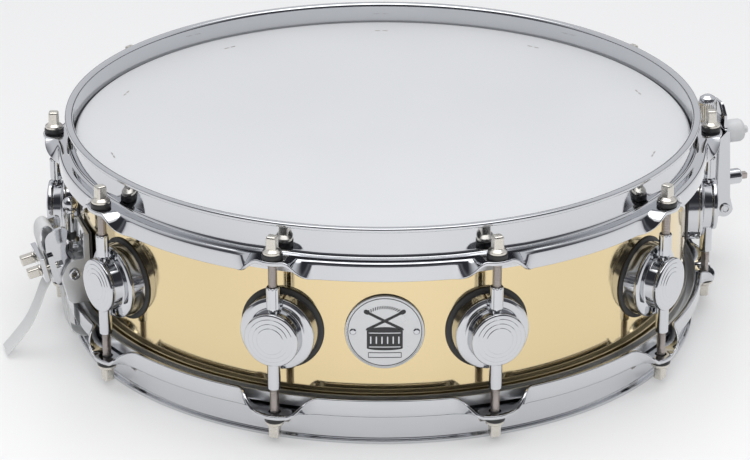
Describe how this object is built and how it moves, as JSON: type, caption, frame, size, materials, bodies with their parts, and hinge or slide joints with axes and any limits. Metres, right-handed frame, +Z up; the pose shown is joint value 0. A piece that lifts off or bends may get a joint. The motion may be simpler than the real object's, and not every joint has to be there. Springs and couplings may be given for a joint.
{
  "type": "snare drum",
  "caption": "Shallow metal snare drum with two tensioned heads, flanged hoops, turret lugs, snare wires, a lever throw-off and a butt plate.",
  "frame": {"origin": "centre of the drum's footprint, on the floor under the snare-side hoop", "axes": "+Z up along the drum's axis, front with the badge towards -Y, throw-off on the +X side"},
  "size_m": [0.4441, 0.3846, 0.1266],
  "materials": {
    "brass_shell": "polished and lacquered pale brass",
    "chrome_hoop": "bright chrome plate on pressed steel",
    "chrome_lug": "bright chrome plate on turned brass",
    "chrome_trim": "bright chrome plate on die-cast metal",
    "nickel_rod": "dull nickel-plated steel",
    "snare_wire_steel": "bright drawn wire",
    "coated_film": "sprayed white coating, slightly rough",
    "clear_film": "thin translucent film",
    "flesh_hoop_aluminium": "plain mill finish",
    "black_rubber": "matt moulded rubber",
    "snare_strap": "frosted translucent plastic strip",
    "grey_knob": "satin light grey",
    "badge_plate": "nickel-plated disc with plain rings and no lettering"
  },
  "bodies": {
    "root": {"shell": "brass_shell", "badge": "badge_plate", "vent_grommet": "chrome_trim", "batter_head_film": "coated_film", "snare_head_film": "clear_film", "batter_flesh_hoop": "flesh_hoop_aluminium", "snare_flesh_hoop": "flesh_hoop_aluminium", "batter_hoop": "chrome_hoop", "snare_hoop": "chrome_hoop", "lug_01": "chrome_lug", "lug_02": "chrome_lug", "lug_03": "chrome_lug", "lug_04": "chrome_lug", "lug_05": "chrome_lug", "lug_06": "chrome_lug", "lug_07": "chrome_lug", "lug_08": "chrome_lug", "lug_09": "chrome_lug", "lug_10": "chrome_lug", "throwoff_gasket": "black_rubber", "throwoff_body": "chrome_trim", "throwoff_pin": "chrome_trim", "butt_gasket": "black_rubber", "butt_base": "chrome_trim", "butt_pin": "chrome_trim", "butt_strap": "snare_strap"},
    "batter_rod_01": {"batter_rod_01": "nickel_rod"},
    "snare_rod_01": {"snare_rod_01": "nickel_rod"},
    "batter_rod_02": {"batter_rod_02": "nickel_rod"},
    "snare_rod_02": {"snare_rod_02": "nickel_rod"},
    "batter_rod_03": {"batter_rod_03": "nickel_rod"},
    "snare_rod_03": {"snare_rod_03": "nickel_rod"},
    "batter_rod_04": {"batter_rod_04": "nickel_rod"},
    "snare_rod_04": {"snare_rod_04": "nickel_rod"},
    "batter_rod_05": {"batter_rod_05": "nickel_rod"},
    "snare_rod_05": {"snare_rod_05": "nickel_rod"},
    "batter_rod_06": {"batter_rod_06": "nickel_rod"},
    "snare_rod_06": {"snare_rod_06": "nickel_rod"},
    "batter_rod_07": {"batter_rod_07": "nickel_rod"},
    "snare_rod_07": {"snare_rod_07": "nickel_rod"},
    "batter_rod_08": {"batter_rod_08": "nickel_rod"},
    "snare_rod_08": {"snare_rod_08": "nickel_rod"},
    "batter_rod_09": {"batter_rod_09": "nickel_rod"},
    "snare_rod_09": {"snare_rod_09": "nickel_rod"},
    "batter_rod_10": {"batter_rod_10": "nickel_rod"},
    "snare_rod_10": {"snare_rod_10": "nickel_rod"},
    "throwoff_lever": {"throwoff_lever": "chrome_trim", "throwoff_lever_knob": "grey_knob"},
    "throwoff_carriage": {"throwoff_carriage": "chrome_trim", "throwoff_clamp_plate": "chrome_trim", "throwoff_clamp_screw": "nickel_rod", "throwoff_strap": "snare_strap", "snare_wires": "snare_wire_steel"},
    "tension_knob": {"tension_knob": "chrome_trim"},
    "butt_arm": {"butt_arm": "chrome_trim", "butt_clamp_plate": "chrome_trim", "butt_clamp_screw_1": "nickel_rod", "butt_clamp_screw_2": "nickel_rod"},
    "butt_selector": {"butt_selector": "chrome_trim"}
  },
  "joints": [
    {"name": "batter_rod_01_turn", "type": "hinge", "parent": "root", "child": "batter_rod_01", "pos_m": [0.05918, -0.18213, 0.1133], "axis": [0, 0, 1], "continuous": true},
    {"name": "snare_rod_01_turn", "type": "hinge", "parent": "root", "child": "snare_rod_01", "pos_m": [0.05918, -0.18213, 0.0133], "axis": [0, 0, -1], "continuous": true},
    {"name": "batter_rod_02_turn", "type": "hinge", "parent": "root", "child": "batter_rod_02", "pos_m": [0.15493, -0.11256, 0.1133], "axis": [0, 0, 1], "continuous": true},
    {"name": "snare_rod_02_turn", "type": "hinge", "parent": "root", "child": "snare_rod_02", "pos_m": [0.15493, -0.11256, 0.0133], "axis": [0, 0, -1], "continuous": true},
    {"name": "batter_rod_03_turn", "type": "hinge", "parent": "root", "child": "batter_rod_03", "pos_m": [0.1915, 0, 0.1133], "axis": [0, 0, 1], "continuous": true},
    {"name": "snare_rod_03_turn", "type": "hinge", "parent": "root", "child": "snare_rod_03", "pos_m": [0.1915, 0, 0.0133], "axis": [0, 0, -1], "continuous": true},
    {"name": "batter_rod_04_turn", "type": "hinge", "parent": "root", "child": "batter_rod_04", "pos_m": [0.15493, 0.11256, 0.1133], "axis": [0, 0, 1], "continuous": true},
    {"name": "snare_rod_04_turn", "type": "hinge", "parent": "root", "child": "snare_rod_04", "pos_m": [0.15493, 0.11256, 0.0133], "axis": [0, 0, -1], "continuous": true},
    {"name": "batter_rod_05_turn", "type": "hinge", "parent": "root", "child": "batter_rod_05", "pos_m": [0.05918, 0.18213, 0.1133], "axis": [0, 0, 1], "continuous": true},
    {"name": "snare_rod_05_turn", "type": "hinge", "parent": "root", "child": "snare_rod_05", "pos_m": [0.05918, 0.18213, 0.0133], "axis": [0, 0, -1], "continuous": true},
    {"name": "batter_rod_06_turn", "type": "hinge", "parent": "root", "child": "batter_rod_06", "pos_m": [-0.05918, 0.18213, 0.1133], "axis": [0, 0, 1], "continuous": true},
    {"name": "snare_rod_06_turn", "type": "hinge", "parent": "root", "child": "snare_rod_06", "pos_m": [-0.05918, 0.18213, 0.0133], "axis": [0, 0, -1], "continuous": true},
    {"name": "batter_rod_07_turn", "type": "hinge", "parent": "root", "child": "batter_rod_07", "pos_m": [-0.15493, 0.11256, 0.1133], "axis": [0, 0, 1], "continuous": true},
    {"name": "snare_rod_07_turn", "type": "hinge", "parent": "root", "child": "snare_rod_07", "pos_m": [-0.15493, 0.11256, 0.0133], "axis": [0, 0, -1], "continuous": true},
    {"name": "batter_rod_08_turn", "type": "hinge", "parent": "root", "child": "batter_rod_08", "pos_m": [-0.1915, 0, 0.1133], "axis": [0, 0, 1], "continuous": true},
    {"name": "snare_rod_08_turn", "type": "hinge", "parent": "root", "child": "snare_rod_08", "pos_m": [-0.1915, 0, 0.0133], "axis": [0, 0, -1], "continuous": true},
    {"name": "batter_rod_09_turn", "type": "hinge", "parent": "root", "child": "batter_rod_09", "pos_m": [-0.15493, -0.11256, 0.1133], "axis": [0, 0, 1], "continuous": true},
    {"name": "snare_rod_09_turn", "type": "hinge", "parent": "root", "child": "snare_rod_09", "pos_m": [-0.15493, -0.11256, 0.0133], "axis": [0, 0, -1], "continuous": true},
    {"name": "batter_rod_10_turn", "type": "hinge", "parent": "root", "child": "batter_rod_10", "pos_m": [-0.05918, -0.18213, 0.1133], "axis": [0, 0, 1], "continuous": true},
    {"name": "snare_rod_10_turn", "type": "hinge", "parent": "root", "child": "snare_rod_10", "pos_m": [-0.05918, -0.18213, 0.0133], "axis": [0, 0, -1], "continuous": true},
    {"name": "throwoff_lever_swing", "type": "hinge", "parent": "root", "child": "throwoff_lever", "pos_m": [0.20524, 0.06669, 0.0371], "axis": [-0.309, 0.9511, 0], "range_deg": [0, 95]},
    {"name": "throwoff_carriage_slide", "type": "slide", "parent": "root", "child": "throwoff_carriage", "axis": [0, 0, -1], "range_m": [0, 0.0041], "deforming": ["butt_strap"]},
    {"name": "tension_knob_turn", "type": "hinge", "parent": "throwoff_carriage", "child": "tension_knob", "pos_m": [0.19687, 0.06397, 0.0933], "axis": [0, 0, 1], "continuous": true},
    {"name": "butt_selector_turn", "type": "hinge", "parent": "root", "child": "butt_selector", "pos_m": [-0.17785, -0.05779, 0.0633], "axis": [-0.9511, -0.309, 0], "range_deg": [0, 60]},
    {"name": "butt_arm_swing", "type": "hinge", "parent": "root", "child": "butt_arm", "pos_m": [-0.17975, -0.0584, 0.0507], "axis": [0.309, -0.9511, 0], "range_deg": [0, 9.1], "deforming": ["butt_strap"]}
  ],
  "couplings": [
    {"joint": "throwoff_carriage_slide", "follows": "throwoff_lever_swing", "m_per_rad": 0.0024125},
    {"joint": "butt_arm_swing", "follows": "butt_selector_turn", "ratio": 0.15}
  ]
}
